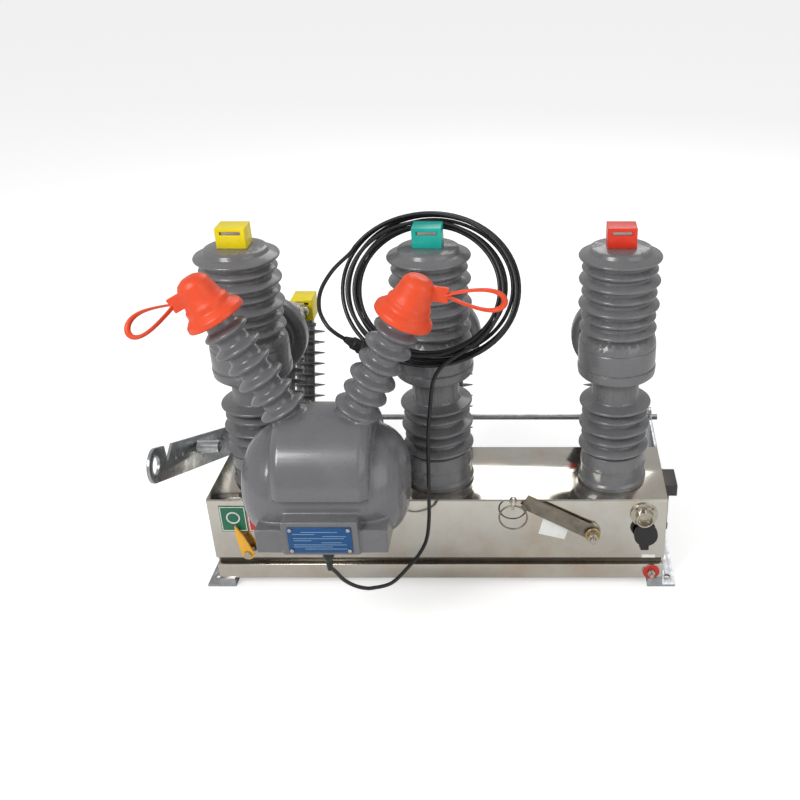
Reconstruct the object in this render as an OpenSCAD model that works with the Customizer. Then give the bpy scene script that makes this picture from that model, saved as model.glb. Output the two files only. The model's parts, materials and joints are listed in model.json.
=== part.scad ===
/* [Phases] */
// Distance between neighbouring phases
phase_pitch = 340; // [300:5:400]

/* [Housing] */
// Width of the housing between its end faces
box_w = 884; // [860:2:1000]
// Front face of the housing, ahead of the phases' plane
box_front = 86; // [80:1:110]
// Rear face of the housing, behind the phases' plane
box_rear = 112; // [100:1:140]
// Height of the housing's underside above the floor
box_bottom = 20; // [10:1:40]
// Height of the housing's top face above the floor
box_top = 207; // [190:1:260]
// Thickness of the stainless sheets
sheet_t = 2.5; // [1.5:0.5:4]
// Height of the lower rail's top edge above the floor
rail_top = 54; // [45:1:60]
// Height of the front panel's lower edge above the floor
panel_low = 70; // [64:1:80]

/* [Feet] */
// Width of a foot's floor flange that shows outside the housing
foot_flange = 26; // [22:1:40]
// Thickness of the foot angles
foot_t = 5; // [3:0.5:8]
// Length of a foot, front to back
foot_l = 188; // [160:2:200]
// Distance between the bolts of one foot, front to back
foot_bolt_y = 120; // [80:5:150]
// Radius of a foot's bolt holes
foot_hole_r = 6; // [4:0.5:8]

/* [Poles] */
// Radius of a pole's foot
pole_foot_r = 65; // [60:1:70]
// Radius of the large sheds
shed_r = 74; // [68:1:76]
// Radius of the small sheds
shed_small_r = 69; // [64:1:72]
// Radius of the neck between support and interrupter
neck_r = 44; // [36:1:50]
// Height of the neck's top, where the interrupter housing starts
barrel_z = 438; // [430:1:450]
// Radius of the interrupter housing
barrel_r = 72; // [66:1:76]
// Height of the dome that closes a pole
dome_top = 686; // [684:1:700]

/* [Terminals] */
// Width of a coloured terminal sleeve
sleeve_w = 52; // [44:1:60]
// Depth of a coloured terminal sleeve
sleeve_d = 42; // [40:1:56]
// Height of a coloured terminal sleeve
sleeve_h = 37; // [30:1:44]
// Wall of a coloured terminal sleeve
sleeve_wall = 3; // [2:0.5:5]
// Radius of the bolt hole in each line terminal
line_hole_r = 6.5; // [4:0.5:7]

/* [Current transformers] */
// Radius of a current transformer
ct_r = 82; // [76:1:84]
// Thickness of a current transformer
ct_t = 46; // [36:1:50]
// Height of a current transformer's centre
ct_z = 467; // [462:1:474]
// Front face of the current transformers, behind the phases' plane
ct_y = 82; // [80:1:88]

/* [Isolating switch] */
// Blade pivot, behind the phases' plane
pivot_y = 384; // [376:1:392]
// Blade pivot, height above the floor
pivot_z = 398; // [390:1:406]
// Switch shaft, behind the phases' plane
shaft_y = 250; // [244:1:256]
// Switch shaft, height above the floor
shaft_z = 201.5; // [196:0.5:208]
// Radius of the switch shaft
shaft_r = 6; // [4:0.5:8]
// Crank length, which is also the distance from blade pivot to pull rod
crank_l = 72; // [66:1:84]
// Blade length from pivot to contact
blade_l = 226; // [200:2:240]
// Slope of the closed blade above the horizontal, in degrees
blade_slope = 25.5; // [22:0.5:28]
// Width of a blade strip
blade_w = 30; // [22:1:34]
// Thickness of a blade strip
blade_t = 4; // [3:0.5:6]
// Thickness of the contact lugs between the blade strips
lug_t = 16; // [12:1:18]

/* [Rear posts] */
// Foot of the rear posts, behind the phases' plane
post_y = 291; // [286:1:296]
// Lean of the rear posts from the vertical, in degrees
post_lean = 26.9; // [25:0.1:28]
// Length of a rear post
post_l = 292; // [280:1:296]
// Radius of a rear post's core
post_r = 21; // [16:1:24]
// Radius of a rear post's sheds
post_shed_r = 44; // [36:1:46]
// Height of the rear beam's top, where the posts stand
beam_top = 92; // [88:1:96]

/* [Lever] */
// Length of the lever's straight strip, from its rear bend to the centre of its eye
lever_l = 420; // [400:1:440]
// Slope of the resting lever above the horizontal, in degrees
lever_slope = 24.3; // [20:0.1:26]
// Width of the lever plate
lever_w = 62; // [56:1:74]
// Thickness of the lever plate
lever_t = 6; // [4:0.5:8]

/* [Voltage transformer] */
// Middle of the voltage transformer, left of the middle phase
vt_x = 174; // [170:1:184]
// Middle of the voltage transformer, ahead of the phases' plane
vt_y = 198; // [196:1:210]
// Height of the body's axis
vt_z = 324; // [318:1:332]
// Radius of the body
vt_r = 105; // [98:1:108]
// Length of the body
vt_w = 281; // [270:1:300]
// Height of the base's underside
vt_base_z = 258; // [250:1:262]
// Lean of each bushing from the vertical, in degrees
bushing_lean = 27.5; // [24:0.5:30]
// Radius of the bushing sheds
bushing_shed_r = 41; // [34:1:44]

/* [Cable] */
// Diameter of the voltage cable
cable_d = 7; // [5:0.5:9]
// Half width of the coil at the middle of its winding
coil_r = 141; // [136:1:144]

/* [Hidden] */
$fn = 48;
e = 0.3;              // seat gap between bodies that move
run = 0.05;           // radial clearance of a pin in its bore
phases = ["a", "b", "c"];
phase_x = [for (i = [0:2]) (i - 1) * phase_pitch];
box_left = -box_w / 2;
box_right = box_w / 2;
seat_z = box_top;                      // the poles stand on the top plate
crank_dy = -crank_l * cos(blade_slope);
crank_dz = crank_l * sin(blade_slope);
fork_gap = 7.5;                        // half the gap between crank plates
fork_t = 5;
eye_t = 13;                            // thickness of a pull rod's eyes
eye_r = 13;
pin_r = 5;
open_pin_r = 4.7;                      // the linkage's open pivot is slack
strip_in = lug_t / 2 + 0.4;            // inner face of a blade strip
arm_t = 6;
arm_ear_r = 22;                        // round ear of a side arm at the shaft
lever_x = box_left - 33;               // outer face of the lever plate
lever_in = lever_x + lever_t;
lever_bend = [55, -46];                // start of the straight strip, in the lever's frame
hub_l = 12;                            // length of the lever's hub on the shaft
contact_y = pivot_y - blade_l * cos(blade_slope);
contact_z = pivot_z + blade_l * sin(blade_slope);
front_y = -box_front;
pad_h = 8;
shed_pitch = 24.5;                     // distance between the rear posts' sheds
vt_front = vt_y + vt_r + 24;           // front of the terminal box
bushing_root_x = 58;
bushing_root_z = vt_z + vt_r + 28;
bushing_l = 222;
cap_l = 79;
loop_l = 108;                          // root to eye of a cap's pull loop
mid_x = 7;                             // the middle band and base sit right of the body's middle
shelf_t = 6;
gland_x = -160;
gland_y = -vt_y - vt_r - 12;
gland_z = vt_base_z - 20;

// ---------- shared shapes ----------

// Cylinder along X, centred on (x, y, z)
module rod_x(r, l, p) { translate(p) rotate([0, 90, 0]) cylinder(r = r, h = l, center = true); }

// Cylinder along Y from y0 to y1
module rod_y(r, x, z, y0, y1) { translate([x, y1, z]) rotate([90, 0, 0]) cylinder(r = r, h = y1 - y0); }

// Upright block between two corners
module block(a, b) { translate(a) cube(b - a); }

// Plate with two round ends, drawn in the XY plane from the origin along +X
module strip_2d(l, w) {
  translate([0, -w / 2]) square([l, w]);
  circle(r = w / 2);
  translate([l, 0]) circle(r = w / 2);
}

// Turns a drawing in XY into the YZ plane: drawing x becomes -Y, drawing y becomes Z
module in_yz(x0, x1) {
  translate([x1, 0, 0]) rotate([90, 0, -90]) linear_extrude(x1 - x0) children();
}

// Outline of one shed: root, sloping top and rounded rim
function shed(z, core, r, h) =
  [[core, z - h * 0.5], [r - 4, z - 5], [r - 0.6, z - 3], [r, z - 0.5], [r - 1.4, z + 1.6],
   [core, z + h * 0.36]];

// ---------- housing and feet ----------

module housing() {
  color("gainsboro")
  block([box_left + sheet_t, front_y + 10, box_bottom], [box_right - sheet_t, box_rear, box_top - sheet_t]);
  color("gainsboro") {
    block([box_left, front_y + 10, box_bottom], [box_left + sheet_t, box_rear, box_top - sheet_t]);
    block([box_right - sheet_t, front_y + 10, box_bottom], [box_right, box_rear, box_top - sheet_t]);
  }
}

module front_panel() {
  color("silver")
  block([box_left, front_y, panel_low], [box_right, front_y + 10, box_top - sheet_t]);
}

module top_plate() {
  color("white")
  block([box_left, front_y, box_top - sheet_t], [box_right, box_rear, box_top]);
}

module lower_rail() {
  color("silver")
  block([box_left, front_y, box_bottom], [box_right, front_y + 10, rail_top]);
}

// Foot rail: a channel web under the housing and a flange on the floor outside it
module foot(inner, outer) {
  lo = min(inner, outer);
  hi = max(inner, outer);
  y0 = -foot_l / 2 + 6;
  hole_x = outer + (outer < inner ? 1 : -1) * foot_flange / 2;
  web = hole_x + (outer < inner ? 1 : -1) * foot_flange / 2;
  difference() {
    union() {
      block([lo, y0, 0], [hi, y0 + foot_l, foot_t]);
      block([min(inner, web), y0, foot_t], [max(inner, web), y0 + foot_l, box_bottom]);
    }
    for (s = [-1, 1]) translate([hole_x, s * foot_bolt_y / 2, -1]) cylinder(r = foot_hole_r, h = foot_t + 2);
  }
}

module left_foot() { color("darkgray") foot(box_left + 30, box_left - foot_flange); }
module right_foot() { color("darkgray") foot(box_right - 30, box_right + foot_flange); }

// ---------- isolating switch frame ----------

// Side arm: a plate from the housing's rear corner back to the rear beam
module arm(x0) {
  difference() {
    in_yz(x0, x0 + arm_t) union() {
      polygon([[-post_y + 10, box_top], [-post_y - 34, 72], [-post_y, 36], [-post_y + 56, 58],
        [-box_rear, 116], [-box_rear, box_top]]);
      translate([-shaft_y, shaft_z]) circle(r = arm_ear_r);
    }
    rod_x(shaft_r + run, 3 * arm_t, [x0 + arm_t / 2, shaft_y, shaft_z]);
  }
}
module left_arm() { color("darkgray") arm(box_left); }
module right_arm() { color("darkgray") arm(box_right - arm_t); }

// Frame of the leaning rear posts: origin on the beam, +Z along the posts
module on_beam(x) { translate([x, post_y, beam_top]) rotate([-post_lean, 0, 0]) children(); }

module rear_beam() {
  color("silver") on_beam(0) difference() {
    block([box_left + arm_t, -25, -40], [box_right - arm_t, 25, 0]);
    block([box_left, -20, -45], [box_right, 20, -5]);
  }
}

// ---------- poles ----------

module support_insulator(x) {
  r0 = pole_foot_r;
  s = shed_small_r;
  color("dimgray") translate([x, 0, 0]) {
    rotate_extrude() polygon(concat(
      [[0, seat_z], [r0, seat_z], [r0, seat_z + 6], [r0 + 1.5, seat_z + 9], [r0 - 3, seat_z + 14],
       [r0 - 2.5, seat_z + 36], [r0 - 1, seat_z + 42], [r0 - 4, seat_z + 60], [r0 - 5, seat_z + 68]],
      shed(seat_z + 80, neck_r + 6, s - 1, 20),
      shed(seat_z + 103, neck_r + 4, s - 6, 20),
      shed(seat_z + 126, neck_r + 4, s - 1, 20),
      shed(seat_z + 150, neck_r + 3, s - 6, 20),
      shed(seat_z + 172, neck_r + 2, s - 1, 20),
      [[neck_r, seat_z + 184], [neck_r, barrel_z], [0, barrel_z]]));
  }
}

module interrupter(x) {
  b = barrel_r;
  color("dimgray") translate([x, 0, 0]) {
      rotate_extrude() polygon(concat(
        [[0, barrel_z], [b - 4, barrel_z], [b, barrel_z + 4], [b + 1, barrel_z + 12], [b + 1, barrel_z + 19],
         [b - 2, barrel_z + 21], [b, barrel_z + 23], [b, barrel_z + 58], [b - 2, barrel_z + 60],
         [b, barrel_z + 62], [b - 1, barrel_z + 70], [b - 6, barrel_z + 79], [b - 12, barrel_z + 83]],
        shed(barrel_z + 95, b - 14, shed_small_r + 2, 20),
        shed(barrel_z + 118, b - 14, shed_small_r, 20),
        shed(barrel_z + 140, b - 14, shed_r, 20),
        shed(barrel_z + 163, b - 14, shed_small_r, 20),
        shed(barrel_z + 186, b - 14, shed_r, 20),
        shed(barrel_z + 208, b - 14, shed_small_r, 20),
        shed(barrel_z + 230, b - 14, shed_r + 1, 20),
        [[b - 15, barrel_z + 239], [b - 17, dome_top - 4], [b - 24, dome_top - 1.2],
         [30, dome_top], [0, dome_top]]));
      rod_y(ct_z - barrel_z - 1, 0, ct_z, 0, ct_y);
  }
}

// Metal pad under each coloured sleeve, with the line bolt's hole
module top_terminals() {
  color("silver") for (x = phase_x) difference() {
    union() {
      translate([x, 0, dome_top]) cylinder(r = 17.5, h = pad_h);
      block([x - 20, -17, dome_top + pad_h], [x + 20, 17, dome_top + sleeve_h - 6]);
    }
    rod_x(line_hole_r, 60, [x, 0, dome_top + 19]);
  }
}

// Coloured hood with an open front slot, over a terminal
module hood(x, y0, z0, w, d, h, notch = 0) {
  difference() {
    block([x - w / 2, y0, z0], [x + w / 2, y0 + d, z0 + h]);
    block([x - w / 2 + sleeve_wall, y0 + sleeve_wall, z0 - 1],
          [x + w / 2 - sleeve_wall, y0 + d - sleeve_wall, z0 + h - sleeve_wall]);
    block([x - w / 2 + 8, y0 - 1, z0 + h - 13], [x + w / 2 - 8, y0 + sleeve_wall + 1, z0 + h - 7]);
    if (notch > 0)
      block([x - lug_t / 2 - e, y0 - 1, z0 - 1], [x + lug_t / 2 + e, y0 + sleeve_wall + 1, z0 + notch]);
  }
}

module phase_sleeves(i) {
  x = phase_x[i];
  color(["gold", "lightseagreen", "orangered"][i]) {
    hood(x, -sleeve_d / 2, dome_top, sleeve_w, sleeve_d, sleeve_h);
    hood(x, pivot_y + 20, pivot_z - 32, sleeve_w - 4, sleeve_d + 14, 50, 45 + e);
  }
}

// ---------- current transformers and contacts ----------

module current_transformer(x) {
  t = ct_t;
  color("dimgray") translate([x, ct_y, ct_z]) rotate([-90, 0, 0]) difference() {
    rotate_extrude() polygon([[0, 0], [58, 0], [60, 4], [ct_r - 12, 4], [ct_r - 5, 7], [ct_r - 1, 12],
      [ct_r, 17],
      [ct_r, t - 12], [ct_r - 2, t - 6], [ct_r - 8, t - 1.5], [ct_r - 15, t], [0, t]]);
    translate([0, 0, t - 10]) cylinder(r = 14 + run, h = 11);
  }
}

// Stud out of each current transformer, ending in the lug that the blade closes on
module outlet_contacts() {
  y1 = ct_y + ct_t;
  color("silver") for (x = phase_x) {
    rod_y(14, x, ct_z, y1 - 10, y1 + 14);
    rod_y(24, x, ct_z, y1, y1 + 8);
    block([x - lug_t / 2, y1 + 14, ct_z - 14], [x + lug_t / 2, contact_y + 16, contact_z + 10]);
  }
}

// ---------- rear posts ----------

module rear_post(x) {
  c = post_r;
  s = post_shed_r;
  color("dimgray") on_beam(x) rotate_extrude() polygon(concat(
    [[0, 0], [28, 0], [28, 14], [c + 3, 20], [c, 30]],
    [for (k = [9:-1:0]) let (z = post_l - 19 - shed_pitch * k)
      for (p = [[c, z - 6], [s - 3, z - 2], [s, z - 0.4], [s - 1, z + 0.8], [c, z + 4]]) p],
    [[c, post_l - 9], [24, post_l - 6], [24, post_l], [0, post_l]]));
}

// Cap on each rear post: a lug forward for the blade pivot and a pad back under the sleeve
module rear_terminals() {
  color("silver") for (x = phase_x) difference() {
    union() {
      on_beam(x) translate([0, 0, post_l]) cylinder(r = 20, h = 14);
      block([x - lug_t / 2, pivot_y - 13, pivot_z - 52], [x + lug_t / 2, pivot_y + 40, pivot_z + 13]);
      block([x - 20, pivot_y + 26, pivot_z - 38], [x + 20, pivot_y + 68, pivot_z + 6]);
    }
    rod_x(pin_r + run, 40, [x, pivot_y, pivot_z]);
    rod_x(line_hole_r, 60, [x, pivot_y + 46, pivot_z - 14]);
    block([x - 30, pivot_y - 14, pivot_z - 60], [x + 30, pivot_y + 14, pivot_z - 25]);
    on_beam(x) block([-30, -80, post_l - 80], [30, 80, post_l]);
  }
}

// ---------- isolating switch, moving parts ----------

// Two strips on a pivot pin, with a second pin for the pull rod
module isolator_blade(x) {
  color("lightgray") translate([0, pivot_y, pivot_z]) rotate([-blade_slope, 0, 0]) {
    for (s = [-1, 1]) {
      a = s > 0 ? x + strip_in : x - strip_in - blade_t;
      difference() {
        in_yz(a, a + blade_t) strip_2d(blade_l + 8, blade_w);
        rod_x(pin_r, 60, [x, 0, 0]);
        rod_x(open_pin_r, 60, [x, -crank_l, 0]);
      }
    }
    l = 2 * (strip_in + blade_t);
    rod_x(pin_r, l + 14, [x, 0, 0]);
    rod_x(open_pin_r, l + 14, [x, -crank_l, 0]);
    for (s = [-1, 1], y = [0, -crank_l]) rod_x(9, 5, [x + s * (l / 2 + 2.5), y, 0]);
  }
}

// Insulating rod with ribs and an eye at each end
module pull_rod(x) {
  dy = pivot_y - shaft_y;
  dz = pivot_z - shaft_z;
  l = sqrt(dy * dy + dz * dz);
  a = atan2(dy, dz);
  color("dimgray") translate([x, shaft_y + crank_dy, shaft_z + crank_dz]) rotate([-a, 0, 0]) difference() {
    union() {
      for (z = [0, l]) rod_x(eye_r, eye_t, [0, 0, z]);
      translate([-eye_t / 2, -8, 0]) cube([eye_t, 16, l]);
      rotate_extrude() polygon(concat([[0, 24], [12, 24]],
        [for (k = [0:6], p = [[12, 29 + 24 * k], [28, 33 + 24 * k], [30, 34.5 + 24 * k], [29, 36 + 24 * k],
          [12, 38 + 24 * k]]) p],
        [[12, l - 42], [0, l - 42]]));
    }
    rod_x(pin_r + run, 40, [0, 0, 0]);
    rod_x(pin_r + run, 40, [0, 0, l]);
  }
}

// Shaft through both side arms with a crank fork for each phase
module isolator_shaft() {
  a = lever_in + hub_l;
  b = box_right + 14;
  color("silver") {
    rod_x(shaft_r, b - a, [(a + b) / 2, shaft_y, shaft_z]);
    for (x = phase_x) {
      for (s = [-1, 1]) {
        f = s > 0 ? x + fork_gap : x - fork_gap - fork_t;
        translate([0, shaft_y, shaft_z]) rotate([-blade_slope, 0, 0])
          in_yz(f, f + fork_t) strip_2d(crank_l, 24);
      }
      rod_x(16, 2 * (fork_gap + fork_t), [x, shaft_y, shaft_z]);
      rod_x(pin_r, 2 * (fork_gap + fork_t) + 8, [x, shaft_y + crank_dy, shaft_z + crank_dz]);
    }
  }
}

// Lever plate on the shaft's left end, with an eye, a notch and a stub tube
module isolator_lever() {
  color("silver") translate([0, shaft_y, shaft_z]) rotate([-lever_slope, 0, 0]) {
    in_yz(lever_x, lever_in) difference() {
      union() {
        translate(lever_bend) strip_2d(lever_l, lever_w);
        hull() {
          circle(r = 24);
          translate(lever_bend) circle(r = lever_w / 2 - 7);
        }
      }
      translate(lever_bend + [lever_l, 0]) circle(r = 16);
      translate(lever_bend + [lever_l - 54, 0])
        polygon([[0, 0], [18, lever_w / 2 + 3], [-28, lever_w / 2 + 3]]);
    }
    difference() {
      rod_x(12.5, 42, [lever_in + 21, -262, -36]);
      rod_x(10, 60, [lever_in + 40, -262, -36]);
    }
    rod_x(14, hub_l, [lever_in + hub_l / 2, 0, 0]);
    rod_x(11, 7, [lever_x - 3.5, 0, 0]);
  }
}

// ---------- voltage transformer ----------

module bushing() {
  c = 26;
  rotate_extrude() polygon(concat([[0, -70], [c + 14, -70], [c + 12, -20], [c + 5, -4]],
    [for (k = [0:5], p = shed(14 + 32 * k, c, bushing_shed_r - (k % 2) * 2, 24)) p],
    [[c, bushing_l - 25], [0, bushing_l - 25]]));
}

// Cast body: barrel with domed ends, raised middle band, base and terminal box
module transformer_body() {
  d = vt_r;
  color("dimgray") translate([-vt_x, -vt_y, 0]) difference() {
    union() {
      translate([0, 0, vt_z]) rotate([0, 90, 0]) rotate_extrude($fn = 96) polygon(concat([[0, -vt_w / 2]],
        [for (k = [0:9]) let (a = k * 10) [d - 70 + 70 * sin(a), -vt_w / 2 + 70 - 70 * cos(a)]],
        [for (k = [9:-1:0]) let (a = k * 10) [d - 70 + 70 * sin(a), vt_w / 2 - 70 + 70 * cos(a)]],
        [[0, vt_w / 2]]));
      intersection() {
        translate([0, 0, vt_z + 28]) rotate([0, 90, 0]) rotate_extrude($fn = 96)
          polygon([[0, mid_x - 82], [d - 6, mid_x - 82], [d, mid_x - 79], [d + 8, mid_x - 69],
            [d + 8, mid_x + 69], [d, mid_x + 79], [d - 6, mid_x + 82], [0, mid_x + 82]]);
        block([-95, -d - 14, vt_z + 26], [95, 200, vt_z + 200]);
      }
      block([mid_x - 110, -d - 20, vt_base_z], [mid_x + 110, d - 4, vt_base_z + 46]);
      block([mid_x - 64, -d - 26, vt_base_z], [mid_x + 64, 0, vt_base_z + 66]);
      for (s = [-1, 1])
        translate([s * bushing_root_x, 0, bushing_root_z]) rotate([0, s * bushing_lean, 0]) bushing();
    }
    block([-200, -200, 0], [200, 200, vt_base_z]);
  }
}

// Rubber cap with a pull loop; turn is the loop's direction in the cap's frame
module cap(s, loop_turn) {
  color("orangered") translate([-vt_x + s * bushing_root_x, -vt_y, bushing_root_z])
  rotate([0, s * bushing_lean, 0]) translate([0, 0, bushing_l - 25]) {
    rotate_extrude() polygon([[0, 0], [48, 0], [50, 2], [49, 10], [42, 17], [38, 20], [37, 31], [34, 34],
      [31, 44], [27, 67], [22, 74], [12, cap_l], [0, cap_l]]);
    translate([0, 0, 52]) rotate([90, 0, 0]) rotate([0, 0, loop_turn]) translate([18, 0, -4])
      linear_extrude(8) difference() {
        union() {
          translate([0, -13]) square([loop_l, 26]);
          translate([loop_l, 0]) circle(r = 22);
        }
        translate([40, -8]) square([loop_l - 40, 16]);
        translate([loop_l, 0]) circle(r = 16);
        translate([40, 0]) circle(r = 8);
      }
  }
}
module transformer_cap_left() { cap(-1, 182); }
module transformer_cap_right() { cap(1, 20); }

module transformer_nameplate() {
  color("steelblue") translate([-vt_x + mid_x, -vt_front, vt_base_z]) block([-53, -4, 7], [53, -2, 57]);
}

// Shelf under the transformer, on packers that stand on the top plate
module transformer_bracket() {
  z1 = vt_base_z;
  color("darkgray") {
    block([-vt_x - 96, -vt_y - 60, z1 - shelf_t], [-vt_x + 96, 50, z1]);
    for (s = [-1, 1]) block([-vt_x + s * 80 - 12, front_y, seat_z], [-vt_x + s * 80 + 12, 50, z1 - shelf_t]);
  }
}

module cable_gland() {
  color("black") translate([gland_x, gland_y, 0]) {
    translate([0, 0, gland_z + 8]) cylinder(r = 10, h = vt_base_z - gland_z - 8, $fn = 6);
    translate([0, 0, gland_z]) cylinder(r1 = 6, r2 = 9, h = 8);
  }
}

// ---------- cable ----------

// The cable's route from the gland down, up in front of the middle pole and into the coil
route = [[-160, -315, 238], [-159.5, -314.5, 224], [-153, -306, 206], [-144, -296, 182], [-132, -283, 160],
  [-118, -270, 143], [-103, -257, 132], [-72, -232, 124], [-42, -205, 142], [-24, -190, 159],
  [-12, -175, 180], [-8, -156, 209], [-7.5, -142, 244], [-6.7, -130, 301], [-5.3, -122, 360], [-1.8, -118, 399],
  [3, -115, 432], [8, -110, 460], [11, -105, 482], [13, -99, 499]];
function unit(v) = v / norm(v);
function smooth(p, i, t) =
  let (a = p[max(i - 1, 0)], b = p[i], c = p[i + 1], d = p[min(i + 2, len(p) - 1)])
  0.5 * (2 * b + (c - a) * t + (2 * a - 5 * b + 4 * c - d) * t * t + (3 * b - a - 3 * c + d) * t * t * t);
path = concat([for (i = [0:len(route) - 2], k = [0:1]) smooth(route, i, k / 2)], [route[len(route) - 1]]);

// A tube swept along a path, as one closed polyhedron
module tube(p, r, sides) {
  n = len(p);
  rings = [for (i = [0:n - 1])
    let (t = unit(p[min(i + 1, n - 1)] - p[max(i - 1, 0)]), u = unit(cross(t, [1, 0.2, 0.1])),
      v = cross(t, u))
    for (k = [0:sides - 1]) p[i] + r * (cos(360 * k / sides) * u + sin(360 * k / sides) * v)];
  walls = [for (i = [0:n - 2], k = [0:sides - 1]) let (k2 = (k + 1) % sides)
    for (f = [[i * sides + k, i * sides + k2, (i + 1) * sides + k2],
      [i * sides + k, (i + 1) * sides + k2, (i + 1) * sides + k]]) f];
  ends = [[for (k = [sides - 1:-1:0]) k], [for (k = [0:sides - 1]) (n - 1) * sides + k]];
  polyhedron(points = rings, faces = [for (f = concat(walls, ends)) [for (q = [len(f) - 1:-1:0]) f[q]]]);
}

module voltage_cable() { color("black") tube(path, cable_d / 2, 8); }

coil_tilt = 32.7;      // lean of the coil's plane from the vertical, top to the rear
coil_c = [2, -29.4, 615];
coil_rise = 125;       // half height of the oval along its tilted plane
function around(a) = [coil_r * cos(a), 0, 0] + coil_rise * sin(a) * [0, sin(coil_tilt), cos(coil_tilt)];
module cable_coil() {
  n = 60;
  m = 10;
  flat = [0, -cos(coil_tilt), sin(coil_tilt)];
  pts = [for (i = [0:n - 1], k = [0:m - 1])
    let (out = unit(around(i * 360 / n)))
    coil_c + around(i * 360 / n) + 11.5 * (cos(k * 360 / m) * out + sin(k * 360 / m) * flat)];
  quads = [for (i = [0:n - 1], k = [0:m - 1]) let (j = (i + 1) % n, l = (k + 1) % m)
    for (f = [[i * m + k, i * m + l, j * m + l], [i * m + k, j * m + l, j * m + k]]) f];
  color("black") polyhedron(points = pts, faces = quads);
}

module cable_plug() {
  color("black") translate([-92, -96, 520]) rotate([20, -50, 0]) {
    cylinder(r = 13, h = 34);
    translate([0, 0, 34]) cylinder(r = 11, h = 14);
    translate([0, 0, 48]) cylinder(r1 = 9, r2 = 5, h = 16);
  }
}

// ---------- front of the housing ----------

module indicator_plates() {
  color("seagreen") block([-420, front_y - 1.5, 134], [-369, front_y, 193]);
  color("crimson") block([-367, front_y - 1.5, 134], [-316, front_y, 193]);
}

pointer_p = [-374, 86];
handle_p = [299, 136];
handle_out = 6;
module pivot_bolts() {
  color("silver") {
    rod_y(4, pointer_p[0], pointer_p[1], front_y - 14, front_y);
    rod_y(7, pointer_p[0], pointer_p[1], front_y - 6, front_y);
    rod_y(7.5, pointer_p[0], pointer_p[1], front_y - 16, front_y - 12);
    rod_y(6, handle_p[0], handle_p[1], front_y - 40, front_y);
    rod_y(16, handle_p[0], handle_p[1], front_y - handle_out, front_y);
    rod_y(15, handle_p[0], handle_p[1], front_y - 18, front_y - 14);
    translate([handle_p[0], front_y - 18, handle_p[1]]) rotate([90, 0, 0]) cylinder(r = 11, h = 10, $fn = 6);
  }
}

module indicator_pointer() {
  color("gold") translate([pointer_p[0], front_y - 7, pointer_p[1]]) rotate([90, 0, 0])
  linear_extrude(4) difference() {
    union() {
      circle(r = 12);
      rotate(14.5) polygon([[11.5, 3], [7.5, 42], [1.2, 68], [-1.2, 68], [-7.5, 42], [-11.5, 3]]);
    }
    circle(r = 4 + run);
  }
}

module charging_handle() {
  color("darkgray") translate([handle_p[0], front_y - handle_out - e, handle_p[1]]) rotate([90, 0, 0])
    linear_extrude(5) difference() {
      rotate(151) union() { strip_2d(128, 30); translate([128, -15]) square([22, 30]); }
      circle(r = 6 + run);
    }
}

ring_p = [146, 180];
module trip_eye() {
  color("silver") difference() {
    union() {
      rod_y(7, ring_p[0], ring_p[1] + 27, front_y - 10, front_y);
      block([ring_p[0] - 3, front_y - 26, ring_p[1] + 21], [ring_p[0] + 3, front_y - 10, ring_p[1] + 33]);
    }
    rod_x(2.6, 20, [ring_p[0], front_y - 20, ring_p[1] + 26.5]);
  }
}
module trip_ring() {
  color("silver") translate([ring_p[0], front_y - 20, ring_p[1]]) rotate([90, 0, 0])
    rotate_extrude($fn = 64) translate([26.5, 0]) circle(r = 1.6, $fn = 16);
}

socket_p = [398, 174];
module control_socket() {
  color("silver") {
    difference() {
      rod_y(26, socket_p[0], socket_p[1], front_y - 5, front_y);
      for (a = [45:90:315])
        rod_y(2, socket_p[0] + 21 * cos(a), socket_p[1] + 21 * sin(a), front_y - 6, front_y + 1);
    }
    difference() {
      rod_y(17, socket_p[0], socket_p[1], front_y - 22, front_y - 5);
      rod_y(14, socket_p[0], socket_p[1], front_y - 23, front_y - 8);
    }
  }
}
module socket_cap() {
  color("black") {
    rod_y(23, socket_p[0] + 4, socket_p[1] - 41, front_y - 17, front_y - 5);
    block([socket_p[0] - 4, front_y - 5, socket_p[1] - 82], [socket_p[0] + 12, front_y, socket_p[1] - 60]);
  }
}

module earth_stud() {
  color("silver") {
    rod_y(17, 418, 38, front_y - 3, front_y);
    translate([418, front_y - 3, 38]) rotate([90, 0, 0]) cylinder(r = 8, h = 7, $fn = 6);
    rod_y(4, 418, 38, front_y - 20, front_y - 10);
  }
}

module side_latch() {
  color("dimgray") {
    block([box_right, -24, 104], [box_right + 4, 44, 196]);
    block([box_right + 4, -20, 172], [box_right + 27, 42, 196]);
    block([box_right + 4, -14, 96], [box_right + 12, 6, 172]);
    translate([box_right + 8, -4, 84]) cylinder(r = 7, h = 12);
  }
}

// ---------- which node is drawn ----------

left_foot();
right_foot();
housing();
front_panel();
top_plate();
lower_rail();
left_arm();
right_arm();
rear_beam();
support_insulator(phase_x[0]);  // support_insulator_a
support_insulator(phase_x[1]);  // support_insulator_b
support_insulator(phase_x[2]);  // support_insulator_c
interrupter(phase_x[0]);  // interrupter_a
interrupter(phase_x[1]);  // interrupter_b
interrupter(phase_x[2]);  // interrupter_c
top_terminals();
phase_sleeves(0);  // phase_sleeves_a
phase_sleeves(1);  // phase_sleeves_b
phase_sleeves(2);  // phase_sleeves_c
current_transformer(phase_x[0]);  // current_transformer_a
current_transformer(phase_x[1]);  // current_transformer_b
current_transformer(phase_x[2]);  // current_transformer_c
outlet_contacts();
rear_post(phase_x[0]);  // rear_post_a
rear_post(phase_x[1]);  // rear_post_b
rear_post(phase_x[2]);  // rear_post_c
rear_terminals();
isolator_blade(phase_x[0]);  // isolator_blade_a
isolator_blade(phase_x[1]);  // isolator_blade_b
isolator_blade(phase_x[2]);  // isolator_blade_c
pull_rod(phase_x[0]);  // pull_rod_a
pull_rod(phase_x[1]);  // pull_rod_b
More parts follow.
